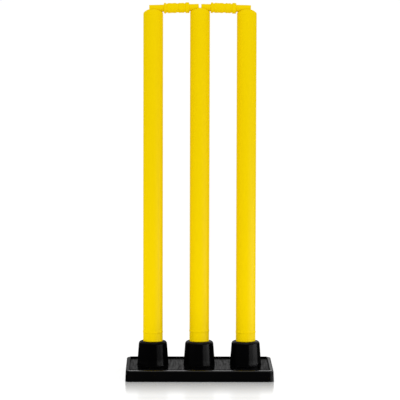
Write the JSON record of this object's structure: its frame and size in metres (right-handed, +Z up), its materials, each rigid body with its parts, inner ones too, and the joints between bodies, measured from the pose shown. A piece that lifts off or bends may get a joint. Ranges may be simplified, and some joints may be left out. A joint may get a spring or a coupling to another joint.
{
  "type": "cricket stumps",
  "caption": "Free-standing wicket: hollow domed stumps pushed into tapered sockets of a heavy lipped rubber base, with turned bails lying loose in grooves across their crowns.",
  "frame": {"origin": "centre of the base's underside, on the ground", "axes": "+Z up along the stumps, +X along the row from the left stump to the right one, +Y from the front of the base to its back"},
  "size_m": [0.285, 0.19, 0.7229],
  "materials": {
    "black_rubber": "satin",
    "yellow_plastic": "semi-gloss"
  },
  "bodies": {
    "base": {"rubber_base": "black_rubber"},
    "middle_stump": {"stump_middle": "yellow_plastic"},
    "left_stump": {"stump_left": "yellow_plastic"},
    "right_stump": {"stump_right": "yellow_plastic"},
    "left_bail": {"bail_left": "yellow_plastic"},
    "right_bail": {"bail_right": "yellow_plastic"}
  },
  "joints": [
    {"name": "middle_stump_lift", "type": "slide", "parent": "base", "child": "middle_stump", "axis": [0, 0, 1], "range_m": [0, 0.08]},
    {"name": "left_stump_lift", "type": "slide", "parent": "middle_stump", "child": "left_stump", "axis": [0, 0, 1], "range_m": [0, 0.08]},
    {"name": "right_stump_lift", "type": "slide", "parent": "middle_stump", "child": "right_stump", "axis": [0, 0, 1], "range_m": [0, 0.08]},
    {"name": "left_bail_lift", "type": "slide", "parent": "left_stump", "child": "left_bail", "axis": [0, 0, 1], "range_m": [0, 0.04]},
    {"name": "right_bail_lift", "type": "slide", "parent": "right_stump", "child": "right_bail", "axis": [0, 0, 1], "range_m": [0, 0.04]}
  ]
}
